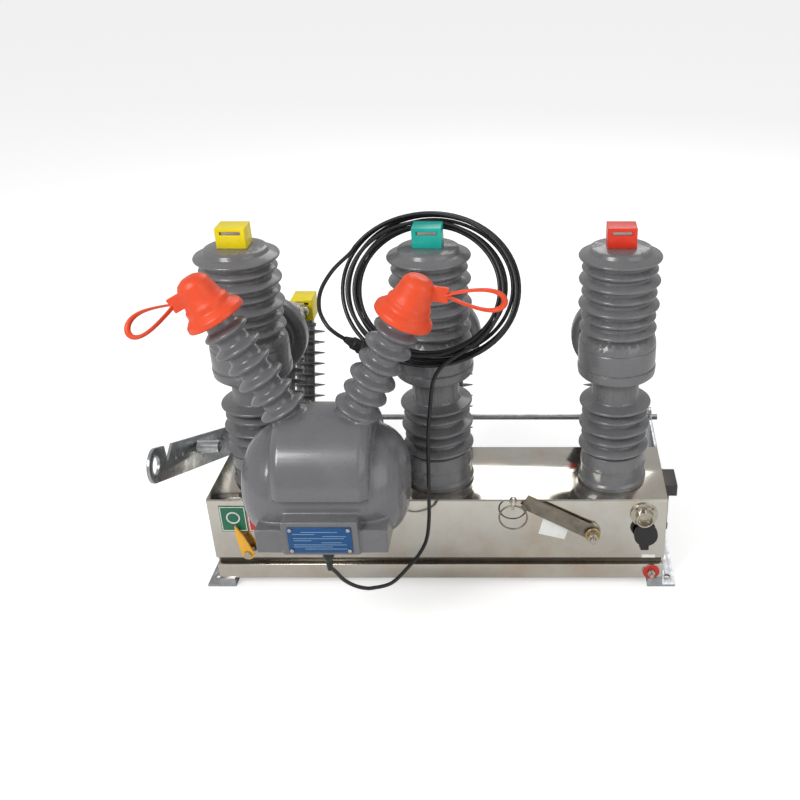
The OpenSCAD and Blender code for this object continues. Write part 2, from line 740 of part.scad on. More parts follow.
pull_rod(phase_x[2]);  // pull_rod_c
isolator_shaft();
isolator_lever();
transformer_body();
transformer_cap_left();
transformer_cap_right();
transformer_nameplate();
transformer_bracket();
cable_gland();
voltage_cable();
cable_coil();
cable_plug();
indicator_plates();
indicator_pointer();
pivot_bolts();
charging_handle();
trip_eye();
trip_ring();
control_socket();
socket_cap();
earth_stud();
side_latch();
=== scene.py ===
"""Outdoor vacuum circuit breaker: the CAD frame, dressed with its cast, pressed and moulded surfaces.

Places and sizes of the breaker's own pieces are in millimetres, in the frame's axes: X to the right,
Y to the rear, Z up. They are turned into metres where a mesh is made.
"""

import json
import logging
import math
from dataclasses import dataclass, field
from enum import Enum

import bpy
from mathutils import Matrix, Vector

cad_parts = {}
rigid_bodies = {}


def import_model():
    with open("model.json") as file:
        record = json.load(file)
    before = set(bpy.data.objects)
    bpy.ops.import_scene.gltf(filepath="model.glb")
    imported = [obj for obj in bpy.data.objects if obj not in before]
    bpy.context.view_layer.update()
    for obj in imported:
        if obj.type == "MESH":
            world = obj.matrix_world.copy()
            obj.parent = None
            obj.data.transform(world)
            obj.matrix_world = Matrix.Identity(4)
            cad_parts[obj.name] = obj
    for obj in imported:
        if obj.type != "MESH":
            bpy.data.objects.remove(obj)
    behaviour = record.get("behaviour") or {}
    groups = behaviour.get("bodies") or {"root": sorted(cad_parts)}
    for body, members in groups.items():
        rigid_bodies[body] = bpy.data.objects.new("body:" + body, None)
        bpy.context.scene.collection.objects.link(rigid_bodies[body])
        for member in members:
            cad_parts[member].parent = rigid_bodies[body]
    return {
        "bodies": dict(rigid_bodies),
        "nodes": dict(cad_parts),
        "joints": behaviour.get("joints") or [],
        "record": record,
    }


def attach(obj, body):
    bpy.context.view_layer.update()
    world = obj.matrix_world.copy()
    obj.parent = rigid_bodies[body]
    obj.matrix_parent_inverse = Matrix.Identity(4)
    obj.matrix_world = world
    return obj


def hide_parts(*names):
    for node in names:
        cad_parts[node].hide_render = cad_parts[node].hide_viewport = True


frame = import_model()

Pair = tuple[float, float]
Triple = tuple[float, float, float]

log = logging.getLogger("breaker")
MM = 0.001
QUARTER = math.pi / 2
PHASES = ("a", "b", "c")


class Make(Enum):
    """How the surface of a CAD node was made."""

    CAST = "poured in a mould, all edges round"
    PRESSED = "sheet, plate or moulding with broken edges"
    TURNED = "round work with crisp steps"


class Grain(Enum):
    """The pattern that a surface carries."""

    EVEN = "fine even texture"
    BRUSHED = "lines drawn along X"
    SPANGLE = "zinc crystals"


# ---------------------------------------------------------------- finishes


def linear(code: str) -> tuple[float, float, float, float]:
    """Turns a hex colour into linear light.

    Args:
        code: Six hex digits.

    Returns:
        Red, green, blue and alpha.
    """
    parts = [int(code[i : i + 2], 16) / 255 for i in (0, 2, 4)]
    return (*[c / 12.92 if c <= 0.04045 else ((c + 0.055) / 1.055) ** 2.4 for c in parts], 1.0)


def add(
    tree: bpy.types.NodeTree, kind: str, feeds: dict | None = None, **settings: object
) -> bpy.types.Node:
    """Adds a node with its settings, and feeds its inputs.

    Args:
        tree: The material's node tree.
        kind: The node's type.
        feeds: Input name or number to a value or to another node's output.
        settings: The node's own properties.

    Returns:
        The new node.
    """
    node = tree.nodes.new(kind)
    for name, value in settings.items():
        setattr(node, name, value)
    for name, value in (feeds or {}).items():
        if isinstance(value, bpy.types.NodeSocket):
            tree.links.new(value, node.inputs[name])
        else:
            node.inputs[name].default_value = value
    return node


def blend_colours(
    tree: bpy.types.NodeTree,
    factor: bpy.types.NodeSocket,
    under: tuple | bpy.types.NodeSocket,
    over: tuple,
) -> bpy.types.NodeSocket:
    """Mixes a colour over another one, or over what is already there.

    Args:
        tree: The material's node tree.
        factor: How much of the upper colour shows.
        under: The lower colour, or the output that carries it.
        over: The upper colour.

    Returns:
        The mixed colour's output.
    """
    # sockets 0, 6 and 7 are the factor and the two colours of a colour mix, and 2 is its result
    return add(tree, "ShaderNodeMix", {0: factor, 6: under, 7: over}, data_type="RGBA").outputs[2]


@dataclass(frozen=True)
class Finish:
    """One real finish and the nodes that draw it.

    Args:
        name: The material's common name and how it was made.
        colour: Main colour, hex.
        shade: Colour of its stains, dust or worn places, and on the stainless sheet of its painted warm
            reflections, hex.
        metallic: 1 for bare metal.
        rough: Lowest and highest roughness.
        cover: How much of the surface the shade takes, 0 to 1.
        patch_mm: Size of the stains, or of the painted reflections on the stainless sheet.
        grain_mm: Size of the surface texture.
        bump_mm: Height of the surface texture.
        grain: The pattern.
        coat: Weight of a clear glossy skin.
    """

    name: str
    colour: str
    shade: str
    metallic: float = 0.0
    rough: Pair = (0.3, 0.5)
    cover: float = 0.5
    patch_mm: float = 40.0
    grain_mm: float = 1.2
    bump_mm: float = 0.05
    grain: Grain = Grain.EVEN
    coat: float = 0.0

    def build(self) -> bpy.types.Material:
        """Builds the material.

        Returns:
            The material, with its patches, roughness and relief linked.
        """
        mat = bpy.data.materials.new(self.name)
        mat.use_nodes = True
        tree = mat.node_tree
        shader = tree.nodes["Principled BSDF"]
        place = add(tree, "ShaderNodeTexCoord").outputs["Object"]
        patches = self._noise(tree, place, self.patch_mm, 6.0, 0.62)
        tree.links.new(self._colour(tree, place, patches), shader.inputs["Base Color"])
        rough = self._span(tree, patches, (0.35, 0.7), self.rough)
        tree.links.new(rough, shader.inputs["Roughness"])
        stretch = (0.04, 1.0, 1.0) if self.grain is Grain.BRUSHED else (1.0, 1.0, 1.0)
        drawn = add(tree, "ShaderNodeMapping", {"Vector": place, "Scale": stretch}).outputs["Vector"]
        fine = self._noise(tree, drawn, self.grain_mm, 4.0, 0.55)
        relief = {"Height": fine, "Strength": 0.6, "Distance": self.bump_mm * MM}
        tree.links.new(add(tree, "ShaderNodeBump", relief).outputs["Normal"], shader.inputs["Normal"])
        shader.inputs["Metallic"].default_value = self.metallic
        shader.inputs["Coat Weight"].default_value = self.coat
        shader.inputs["Coat Roughness"].default_value = 0.12
        return mat

    def _colour(
        self, tree: bpy.types.NodeTree, place: bpy.types.NodeSocket, patches: bpy.types.NodeSocket
    ) -> bpy.types.NodeSocket:
        """Lays the stains (on the stainless sheet, painted warm reflections), and on zinc the crystals, over
        the main colour.

        Args:
            tree: The material's node tree.
            place: The object coordinates.
            patches: The noise of the stains, or of the painted reflections on the stainless sheet.

        Returns:
            The colour's output.
        """
        shade = linear(self.shade)
        mask = self._span(tree, patches, (0.42, 0.68), (0.0, self.cover))
        colour = blend_colours(tree, mask, linear(self.colour), shade)
        if self.grain is Grain.SPANGLE:
            crystal_mm = 9
            cells = {"Vector": place, "Scale": 1 / (crystal_mm * MM)}
            tint = add(tree, "ShaderNodeTexVoronoi", cells).outputs["Color"]
            tone = add(tree, "ShaderNodeSeparateColor", {"Color": tint}).outputs["Red"]
            colour = blend_colours(tree, self._span(tree, tone, (0.0, 1.0), (0.0, 0.4)), colour, shade)
        return colour

    @staticmethod
    def _noise(
        tree: bpy.types.NodeTree, place: bpy.types.NodeSocket, size_mm: float, detail: float, rough: float
    ) -> bpy.types.NodeSocket:
        """Adds a noise whose pattern has a real size.

        Args:
            tree: The material's node tree.
            place: The coordinates.
            size_mm: Size of the pattern.
            detail: Octaves.
            rough: Weight of the fine octaves.

        Returns:
            The noise's output.
        """
        feeds = {"Vector": place, "Scale": 1 / (size_mm * MM), "Detail": detail, "Roughness": rough}
        return add(tree, "ShaderNodeTexNoise", feeds).outputs["Fac"]

    @staticmethod
    def _span(
        tree: bpy.types.NodeTree, value: bpy.types.NodeSocket, source: Pair, target: Pair
    ) -> bpy.types.NodeSocket:
        """Maps one range of a value onto another.

        Args:
            tree: The material's node tree.
            value: The value.
            source: The range that it has.
            target: The range that it gets.

        Returns:
            The mapped value's output.
        """
        feeds = {"Value": value, "From Min": source[0], "From Max": source[1]}
        feeds |= {"To Min": target[0], "To Max": target[1]}
        return add(tree, "ShaderNodeMapRange", feeds).outputs["Result"]


# one finish for each slot of the record
FINISHES: dict[str, Finish] = {
    # mirror-bright sheet: reflections first, warm brown patches of painted reflection, and faint draw lines
    "stainless": Finish(
        "polished stainless sheet", "CCC9C0", "B89F86", metallic=1.0, rough=(0.06, 0.17),
        cover=0.55, patch_mm=110, grain_mm=0.9, bump_mm=0.01, grain=Grain.BRUSHED,
    ),
    # cast epoxy with silica: even mid grey, a glossy skin and light dust
    "insulator_resin": Finish(
        "cast epoxy, grey", "6A6A6C", "767677", rough=(0.22, 0.38), patch_mm=35, grain_mm=1.6, coat=0.35,
    ),
    # the same resin in one large smooth body: broad soft highlights
    "transformer_resin": Finish(
        "cast epoxy, satin grey", "68686B", "717174", rough=(0.22, 0.36), patch_mm=60, grain_mm=1.8,
        bump_mm=0.06, coat=0.35,
    ),
    # hot-dip zinc: spangled, duller where handled
    "galvanised": Finish(
        "hot-dip galvanised steel", "BEC0C2", "8E9194", metallic=1.0, rough=(0.24, 0.42),
        patch_mm=22, grain_mm=1.5, grain=Grain.SPANGLE,
    ),
    # tin over copper: soft silver, slightly warm
    "terminal_metal": Finish(
        "tinned copper lug", "C9C6BF", "A9A59C", metallic=1.0, rough=(0.25, 0.45), patch_mm=15,
        grain_mm=0.8, bump_mm=0.03,
    ),
    # flat bars drawn through a die: fine lines along the bar, dulled by contact
    "blade_metal": Finish(
        "tinned blade", "C4C0B8", "9A968E", metallic=1.0, rough=(0.22, 0.42), cover=0.6, patch_mm=18,
        grain_mm=0.7, bump_mm=0.02, grain=Grain.BRUSHED,
    ),
    # dip-moulded vinyl hoods: saturated, with a waxy shine
    "yellow_sleeve": Finish(
        "moulded vinyl, yellow", "F5DF0E", "E2C70A", rough=(0.28, 0.45), cover=0.4, patch_mm=14,
        grain_mm=0.9, bump_mm=0.03,
    ),
    "green_sleeve": Finish(
        "moulded vinyl, teal", "14B2A3", "0F9C90", rough=(0.28, 0.45), cover=0.4, patch_mm=14,
        grain_mm=0.9, bump_mm=0.03,
    ),
    "red_sleeve": Finish(
        "moulded vinyl, red", "E8371E", "CF2C16", rough=(0.28, 0.45), cover=0.4, patch_mm=14,
        grain_mm=0.9, bump_mm=0.03,
    ),
    # silicone rubber: soft sheen, dusty where it is handled
    "orange_rubber": Finish(
        "moulded silicone, orange-red", "EC4E22", "D64219", rough=(0.34, 0.52), patch_mm=18, grain_mm=1.0,
    ),
    # printed plate: deep blue under a thin lacquer
    "blue_plate": Finish(
        "printed aluminium, blue", "154E84", "123F6C", metallic=0.2, rough=(0.25, 0.40), patch_mm=12,
        grain_mm=0.8, bump_mm=0.02,
    ),
    # nylon mouldings: near black with a dry, even sheen
    "black_plastic": Finish(
        "moulded nylon, black", "1B1B1D", "27272A", rough=(0.35, 0.55), patch_mm=12, grain_mm=0.8,
        bump_mm=0.04,
    ),
    # extruded jacket: a thin bright line along each turn
    "cable_jacket": Finish(
        "extruded jacket, black", "17171A", "2A2A2E", rough=(0.28, 0.46), patch_mm=25, bump_mm=0.03,
    ),
    # rubber cap: matt, with grey dust
    "black_rubber": Finish(
        "moulded rubber, black", "1C1C1E", "303032", rough=(0.45, 0.65), patch_mm=10, grain_mm=0.9,
        bump_mm=0.06,
    ),
    # stove enamel on thin plate: a clear glossy top
    "indicator_paint": Finish(
        "enamelled plate, green", "056B4B", "055F43", rough=(0.22, 0.38), patch_mm=16, grain_mm=1.0,
        bump_mm=0.02, coat=0.3,
    ),
    "pointer_paint": Finish(
        "enamelled pointer, amber", "F4B630", "E0A11F", rough=(0.25, 0.40), patch_mm=14, grain_mm=1.0,
        bump_mm=0.02, coat=0.3,
    ),
    # blackened steel: dark, with worn lighter places
    "dark_steel": Finish(
        "blackened steel", "4A4846", "5F5B57", metallic=0.8, rough=(0.35, 0.55), patch_mm=14, grain_mm=1.0,
    ),
    # zinc-plated bolts: bright and slightly yellow
    "bolt_metal": Finish(
        "zinc-plated hardware", "C2BCAE", "A1998A", metallic=1.0, rough=(0.20, 0.42), patch_mm=9,
        grain_mm=0.8, bump_mm=0.02,
    ),
}

# finishes of small details that share a slot with a larger piece
EXTRA: dict[str, Finish] = {
    # stove enamel, as on the green plate
    "red_enamel": Finish(
        "enamelled plate, red", "C3201B", "AC1A16", rough=(0.22, 0.38), patch_mm=16, grain_mm=1.0,
        bump_mm=0.02, coat=0.3,
    ),
    # printed signs: flat off-white ink
    "white_print": Finish(
        "screen-printed white", "ECECE8", "DADAD4", rough=(0.35, 0.5), patch_mm=8, grain_mm=0.6, bump_mm=0.01,
    ),
    # rules etched through the blue: pale and a little metallic
    "pale_print": Finish(
        "etched rules, pale blue", "86A9C6", "6F93B2", metallic=0.3, rough=(0.3, 0.45), patch_mm=8,
        grain_mm=0.6, bump_mm=0.01,
    ),
    # paper labels: matt white, slightly soiled
    "label_film": Finish(
        "paper label", "EDEDEA", "DCDBD5", rough=(0.4, 0.6), patch_mm=12, grain_mm=0.6, bump_mm=0.02,
    ),
    # painted shade: a darker, duller steel for the sheet laid in the recess between rail and panel
    "recess_painted_shade": Finish(
        "painted recess shade, steel", "55514A", "6B665C", metallic=0.9, rough=(0.22, 0.4), patch_mm=30,
        grain_mm=1.0, bump_mm=0.04,
    ),
    # cold-rolled strip, dulled by handling
    "dull_strip": Finish(
        "brushed steel strip", "8F887C", "6F685D", metallic=1.0, rough=(0.34, 0.5), cover=0.6, patch_mm=18,
        grain_mm=0.8, bump_mm=0.03, grain=Grain.BRUSHED,
    ),
    # passivated washer: warm yellow metal
    "brass": Finish(
        "yellow-passivated washer", "B8985A", "97793F", metallic=1.0, rough=(0.25, 0.45), patch_mm=8,
        grain_mm=0.7, bump_mm=0.02,
    ),
}


# ---------------------------------------------------------------- shop tools


def deselect() -> None:
    """Leaves nothing selected."""
    for other in bpy.context.selected_objects:
        other.select_set(False)


def only(obj: bpy.types.Object) -> None:
    """Makes one object the only selected and active one."""
    deselect()
    bpy.context.view_layer.objects.active = obj
    obj.select_set(True)


def made(name: str) -> bpy.types.Object:
    """Names the primitive that was just added, and moves its place into its mesh.

    Args:
        name: The piece's name.

    Returns:
        The piece, with its object at the origin.
    """
    obj = bpy.context.active_object
    obj.name = name
    bpy.ops.object.transform_apply(location=True, rotation=True, scale=True)
    return obj


def apply_all(obj: bpy.types.Object) -> None:
    """Applies every modifier of an object."""
    only(obj)
    for name in [m.name for m in obj.modifiers]:
        bpy.ops.object.modifier_apply(modifier=name)


def break_edges(obj: bpy.types.Object, width_mm: float, segments: int = 2, over_deg: float = 30.0) -> None:
    """Rounds the sharp edges of a piece.

    Args:
        obj: The piece.
        width_mm: How far the round reaches from the edge.
        segments: Facets of the round.
        over_deg: Smallest angle of an edge that counts as sharp.
    """
    edge = obj.modifiers.new("edge", "BEVEL")
    edge.width = width_mm * MM
    edge.segments = segments
    edge.limit_method = "ANGLE"
    edge.angle_limit = math.radians(over_deg)
    apply_all(obj)


def smooth(obj: bpy.types.Object, over_deg: float = 40.0) -> bpy.types.Object:
    """Shades a piece smooth except at its sharp edges.

    Args:
        obj: The piece.
        over_deg: Smallest angle of an edge that stays sharp.

    Returns:
        The same piece.
    """
    only(obj)
    bpy.ops.object.shade_smooth_by_angle(angle=math.radians(over_deg))
    return obj


@dataclass
class Shop:
    """Materials by slot, and the way in which pieces are made and handed over.

    Args:
        paints: Materials by slot or detail name.
    """

    frame: dict
    paints: dict[str, bpy.types.Material] = field(default_factory=dict)

    def mix_paints(self) -> None:
        """Builds every finish once."""
        for key, finish in {**FINISHES, **EXTRA}.items():
            self.paints[key] = finish.build()

    def slot_of(self, node: str) -> str:
        """Gives the record's slot of a CAD node."""
        return next(s["material_slot"] for s in self.frame["record"]["subparts"] if s["node"] == node)

    def body_of(self, node: str) -> str:
        """Gives the body on which a CAD node rides."""
        bodies = self.frame["record"]["behaviour"]["bodies"]
        return next(body for body, nodes in bodies.items() if node in nodes)

    def hand_over(
        self, obj: bpy.types.Object, body: str, slot: str, paint: str | None = None
    ) -> bpy.types.Object:
        """Paints a finished piece and puts it on its body.

        Args:
            obj: The piece, in its place.
            body: The CAD body it rides on.
            slot: The record's slot.
            paint: The finish, where it isn't the slot's own.

        Returns:
            The same piece.
        """
        obj.data.materials.clear()
        obj.data.materials.append(self.paints[paint or slot])
        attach(obj, body)
        log.info("%s on %s", obj.name, body)
        return obj

    def remake(
        self, node: str, make: Make, size_mm: float = 0.0, paint: str | None = None
    ) -> bpy.types.Object:
        """Makes the finished piece of a CAD node from its own shape.

        Args:
            node: The CAD node.
            make: How the surface was made.
            size_mm: Voxel of a cast piece, or radius of a pressed edge.
            paint: The finish, where it isn't the slot's own.

        Returns:
            The piece that stands for the node.
        """
        obj = bpy.data.objects.new(f"{node}_finished", self.frame["nodes"][node].data.copy())
        bpy.context.scene.collection.objects.link(obj)
        only(obj)
        bpy.ops.object.mode_set(mode="EDIT")
        bpy.ops.mesh.select_all(action="SELECT")
        bpy.ops.mesh.remove_doubles(threshold=1e-5)
        if make is Make.PRESSED:
            bpy.ops.mesh.dissolve_limited(angle_limit=math.radians(1.0))
        bpy.ops.object.mode_set(mode="OBJECT")
        if make is Make.CAST:
            self._cast(obj, size_mm)
        else:
            if make is Make.PRESSED:
                break_edges(obj, size_mm, over_deg=38)
            smooth(obj, 36)
        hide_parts(node)
        return self.hand_over(obj, self.body_of(node), self.slot_of(node), paint)

    @staticmethod
    def _cast(obj: bpy.types.Object, voxel_mm: float) -> None:
        """Melts a shape's steps into one skin with round edges and hollows.

        Args:
            obj: The piece.
            voxel_mm: Size below which its edges are lost.
        """
        mould = obj.modifiers.new("mould", "REMESH")
        mould.mode = "VOXEL"
        mould.voxel_size = voxel_mm * MM
        ease = obj.modifiers.new("ease", "SMOOTH")
        ease.factor = 0.5
        ease.iterations = 2
        apply_all(obj)
        bpy.ops.object.shade_smooth()

    def disc(self, name: str, at: Triple, radius: float, depth: float, sides: int = 32) -> bpy.types.Object:
        """Makes a disc with a rounded rim, whose face looks to the front.

        Args:
            name: The piece's name.
            at: Middle of its back face.
            radius: Its radius.
            depth: How far it stands out.
            sides: Corners of its outline.

        Returns:
            The disc.
        """
        deselect()
        bpy.ops.mesh.primitive_cylinder_add(
            vertices=sides,
            radius=radius * MM,
            depth=depth * MM,
            location=(Vector(at) - Vector((0, depth / 2, 0))) * MM,
            rotation=(QUARTER, 0, 0),
        )
        obj = made(name)
        break_edges(obj, min(depth, radius) * 0.35, segments=3)
        return smooth(obj)

    def plate(
        self, name: str, low: Triple, high: Triple, edge_mm: float = 0.2, lean: float = 0.0
    ) -> bpy.types.Object:
        """Makes a thin plate with broken edges between two corners.

        Args:
            name: The piece's name.
            low: Lowest corner.
            high: Highest corner.
            edge_mm: Radius of its edges.
            lean: Turn in its own plane, in degrees.

        Returns:
            The plate.
        """
        deselect()
        corner, opposite = Vector(low) * MM, Vector(high) * MM
        bpy.ops.mesh.primitive_cube_add(size=1, location=(corner + opposite) / 2)
        obj = bpy.context.active_object
        obj.scale = opposite - corner
        bpy.ops.object.transform_apply(location=False, rotation=False, scale=True)
        obj.rotation_euler = (0, math.radians(lean), 0)
        made(name)
        break_edges(obj, edge_mm)
        return smooth(obj)


# ---------------------------------------------------------------- sub-assemblies


@dataclass
class Housing:
    """Stainless box on its feet, with its front fittings.

    Args:
        front: Face of the front panel.
        half: Half of the box's width.
        band: Lowest and highest level of the recess between rail and panel.
        band_depth: How far behind the panel the front and back of the dark sheet of painted shade lie.
        band_end: How far that sheet stops short of the box's sides.
        sheet_edge: Radius of the folded sheets' edges.
        plate_edge: Radius of the edges of feet, bracket and latch.
        small_edge: Radius of the small fittings' edges.
        cap_voxel: Voxel of the rubber cap.
    """

    front: float = -86.0
    half: float = 442.0
    band: Pair = (54.0, 70.0)
    band_depth: Pair = (8.5, 9.8)
    band_end: float = 4.0
    sheet_edge: float = 1.2
    plate_edge: float = 1.0
    small_edge: float = 0.4
    cap_voxel: float = 1.0

    def build(self, shop: Shop) -> None:
        """Makes the sheets, a dark sheet of painted shade in the recess, and the fittings.

        Args:
            shop: The shop.
        """
        for node in ("housing", "front_panel", "top_plate", "lower_rail"):
            shop.remake(node, Make.PRESSED, self.sheet_edge)
        for node in ("left_foot", "right_foot", "transformer_bracket", "side_latch"):
            shop.remake(node, Make.PRESSED, self.plate_edge)
        # a dark steel sheet laid in the recess between rail and panel stands for the shade there: painted
        # shade
        reach = self.half - self.band_end
        low = (-reach, self.front + self.band_depth[0], self.band[0])
        high = (reach, self.front + self.band_depth[1], self.band[1])
        shop.hand_over(shop.plate("recess_shade_sheet", low, high), "base", "stainless", "recess_painted_shade")
        for node in ("control_socket", "earth_stud", "pivot_bolts", "trip_eye", "indicator_pointer"):
            shop.remake(node, Make.PRESSED, self.small_edge)
        shop.remake("charging_handle", Make.PRESSED, self.small_edge, "dull_strip")
        shop.remake("socket_cap", Make.CAST, self.cap_voxel)
        shop.remake("trip_ring", Make.TURNED, paint="dull_strip")


@dataclass
class FrontMarks:
    """Indicator plates with plain O and I signs, blank labels, earth mark and the handle's washer.

    Args:
        front: Face of the front panel.
        plate_x: Middles of the green and the red plate.
        plate_z: Level of their middle.
        half_wide: Half width of a plate's printed border.
        half_high: Half height of that border.
        line: Width of the border's line.
        face: How far the plates stand out.
        ink: How far the border stands out.
        ring: Radius of the O sign and of its stroke.
        ring_z: Level of the O sign's middle.
        bar_x: Left and right edge of the I sign.
        bar_z: Its lowest and highest level.
        label_film: Thickness of a paper label.
    """

    front: float = -86.0
    plate_x: Pair = (-394.5, -341.5)
    plate_z: float = 163.5
    half_wide: float = 24.0
    half_high: float = 27.5
    line: float = 1.5
    face: float = 1.4
    ink: float = 1.8
    ring: Pair = (12.0, 1.5)
    ring_z: float = 166.0
    bar_x: Pair = (-343.5, -339.5)
    bar_z: Pair = (152.0, 180.0)
    label_film: float = 0.5

    def build(self, shop: Shop) -> None:
        """Makes every mark on the front.

        Args:
            shop: The shop.
        """
        self._plates(shop)
        self._borders(shop)
        self._signs(shop)
        self._labels(shop)

    def _plates(self, shop: Shop) -> None:
        """Makes the two plates, and enamels the right one red.

        Args:
            shop: The shop.
        """
        plates = shop.remake("indicator_plates", Make.PRESSED, 0.4)
        plates.data.materials.append(shop.paints["red_enamel"])
        between = sum(self.plate_x) / 2 * MM
        for face in plates.data.polygons:
            if face.center.x > between:
                face.material_index = 1

    def _borders(self, shop: Shop) -> None:
        """Prints the line round each plate as four bars.

        Args:
            shop: The shop.
        """
        w, h, t = self.half_wide, self.half_high, self.line
        bars = (
            ((-w, -h), (w, t - h)),
            ((-w, h - t), (w, h)),
            ((-w, t - h), (t - w, h - t)),
            ((w - t, t - h), (w, h - t)),
        )
        for i, x in enumerate(self.plate_x):
            for j, (low, high) in enumerate(bars):
                corner = (x + low[0], self.front - self.ink, self.plate_z + low[1])
                opposite = (x + high[0], self.front - self.face, self.plate_z + high[1])
                bar = shop.plate(f"plate_border_{i}_{j}", corner, opposite, 0.1)
                shop.hand_over(bar, "base", "indicator_paint", "white_print")

    def _signs(self, shop: Shop) -> None:
        """Prints the O and the I.

        Args:
            shop: The shop.
        """
        deselect()
        bpy.ops.mesh.primitive_torus_add(
            major_segments=48,
            minor_segments=8,
            major_radius=self.ring[0] * MM,
            minor_radius=self.ring[1] * MM,
            location=Vector((self.plate_x[0], self.front - self.face, self.ring_z)) * MM,
            rotation=(QUARTER, 0, 0),
        )
        ring = made("open_sign")
        bpy.ops.object.shade_smooth()
        shop.hand_over(ring, "base", "indicator_paint", "white_print")
        low = (self.bar_x[0], self.front - self.face - 0.5, self.bar_z[0])
        high = (self.bar_x[1], self.front - self.face, self.bar_z[1])
        bar = shop.plate("closed_sign", low, high)
        shop.hand_over(bar, "base", "indicator_paint", "white_print")

    def _labels(self, shop: Shop) -> None:
        """Sticks on the two bare labels, and adds the earth mark and the washer.

        Args:
            shop: The shop.
        """
        y, film = self.front, self.front - self.label_film
        label = shop.plate("blank_label", (198, film, 121), (251, y, 159), 0.1, lean=15)
        shop.hand_over(label, "base", "stainless", "label_film")
        small = shop.plate("small_label", (398, film, 70.8), (424, y, 78), 0.1)
        shop.hand_over(small, "base", "stainless", "label_film")
        mark = shop.disc("earth_mark", (418, y - 2.8, 38), radius=16.6, depth=0.8)
        shop.hand_over(mark, "base", "bolt_metal", "red_enamel")
        washer = shop.disc("handle_washer", (299, y - 17.6, 136), radius=14.5, depth=1.0)
        shop.hand_over(washer, "base", "bolt_metal", "brass")


@dataclass
class Poles:
    """Resin poles with their current transformers, terminals and hoods.

    Args:
        voxel: Voxel of the cast current transformers.
        lip: Radius of the sheds' and hoods' lips.
        lug_edge: Radius of the terminals' edges.
    """

    voxel: float = 1.7
    lip: float = 1.2
    lug_edge: float = 0.8

    def build(self, shop: Shop) -> None:
        """Casts the transformers, and makes the supports, interrupters and hoods with rounded lips.

        Args:
            shop: The shop.
        """
        for phase in PHASES:
            shop.remake(f"support_insulator_{phase}", Make.PRESSED, self.lip)
            shop.remake(f"interrupter_{phase}", Make.PRESSED, self.lip)
            shop.remake(f"current_transformer_{phase}", Make.CAST, self.voxel)
            shop.remake(f"phase_sleeves_{phase}", Make.PRESSED, self.lip)
        for node in ("top_terminals", "outlet_contacts"):
            shop.remake(node, Make.PRESSED, self.lug_edge)


@dataclass
class Isolator:
    """Rear switch: posts, blades, rods, shaft and the side lever with its rivets.

    Args:
        blade_edge: Radius of the blades' edges.
        steel_edge: Radius of the steel parts' edges.
        lever_face: The lever's face towards the box.
        rivets: Y and Z of each rivet.
        rivet_size: Radius and height of a rivet's head.
    """

    blade_edge: float = 0.6
    steel_edge: float = 0.8
    lever_face: float = -469.0
    rivets: tuple[Pair, ...] = ((-119, 322), (-86, 309.6), (100.5, 227.8), (136, 214))
    rivet_size: Pair = (3.2, 2.0)

    def build(self, shop: Shop) -> None:
        """Makes the fixed frame and the moving parts.

        Args:
            shop: The shop.
        """
        for phase in PHASES:
            shop.remake(f"rear_post_{phase}", Make.TURNED)
            shop.remake(f"pull_rod_{phase}", Make.TURNED)
            shop.remake(f"isolator_blade_{phase}", Make.PRESSED, self.blade_edge)
        for node in ("left_arm", "right_arm", "rear_beam", "rear_terminals"):
            shop.remake(node, Make.PRESSED, self.steel_edge)
        for node in ("isolator_shaft", "isolator_lever"):
            shop.remake(node, Make.PRESSED, self.steel_edge)
        # a disc faces the front, so it is turned to face the box before it goes to its place
        sideways = Matrix.Rotation(QUARTER, 4, "Z")
        for i, (y, z) in enumerate(self.rivets):
            head = shop.disc(f"lever_rivet_{i}", (0, 0, 0), *self.rivet_size, sides=20)
            head.data.transform(Matrix.Translation(Vector((self.lever_face, y, z)) * MM) @ sideways)
            shop.hand_over(head, "isolator", "bolt_metal")


@dataclass
class VoltageTransformer:
    """Cast body with its nameplate and cable gland.

    Args:
        voxel: Voxel of the cast body.
        plate_mid: X and Z of the nameplate's middle.
        plate_y: Face of the nameplate.
        screw_at: Distance of a corner screw from that middle, along X and Z.
        screw_size: Radius and height of a screw's head.
        rules: Left and right end of each blank rule, from that middle.
        first_rule: Height of the top rule above the middle.
        pitch: Distance between rules.
        stroke: Width of a rule.
    """

    voxel: float = 2.3
    plate_mid: Pair = (-167.0, 290.0)
    plate_y: float = -331.0
    screw_at: Pair = (48.0, 20.5)
    screw_size: Pair = (3.4, 2.2)
    rules: tuple[Pair, ...] = (
        (-30, 30), (-44, -8), (4, 44), (-44, 40), (-44, -14), (2, 36), (-44, 44), (-44, 20), (-26, 44),
    )
    first_rule: float = 16.0
    pitch: float = 4.2
    stroke: float = 1.1

    def build(self, shop: Shop) -> None:
        """Casts the body and makes the nameplate with its screws and rules.

        Args:
            shop: The shop.
        """
        shop.remake("transformer_body", Make.CAST, self.voxel)
        shop.remake("transformer_nameplate", Make.PRESSED, 0.4)
        shop.remake("cable_gland", Make.PRESSED, 0.6)
        x, z = self.plate_mid
        for i, (right, up) in enumerate(((-1, -1), (1, -1), (-1, 1), (1, 1))):
            at = (x + right * self.screw_at[0], self.plate_y, z + up * self.screw_at[1])
            head = shop.disc(f"plate_screw_{i}", at, *self.screw_size, sides=24)
            shop.hand_over(head, "base", "bolt_metal")
        for i, (left, right) in enumerate(self.rules):
            level = z + self.first_rule - i * self.pitch
            low = (x + left, self.plate_y - 0.25, level)
            high = (x + right, self.plate_y + 0.05, level + self.stroke)
            rule = shop.plate(f"plate_rule_{i}", low, high, 0.05)
            shop.hand_over(rule, "base", "blue_plate", "pale_print")


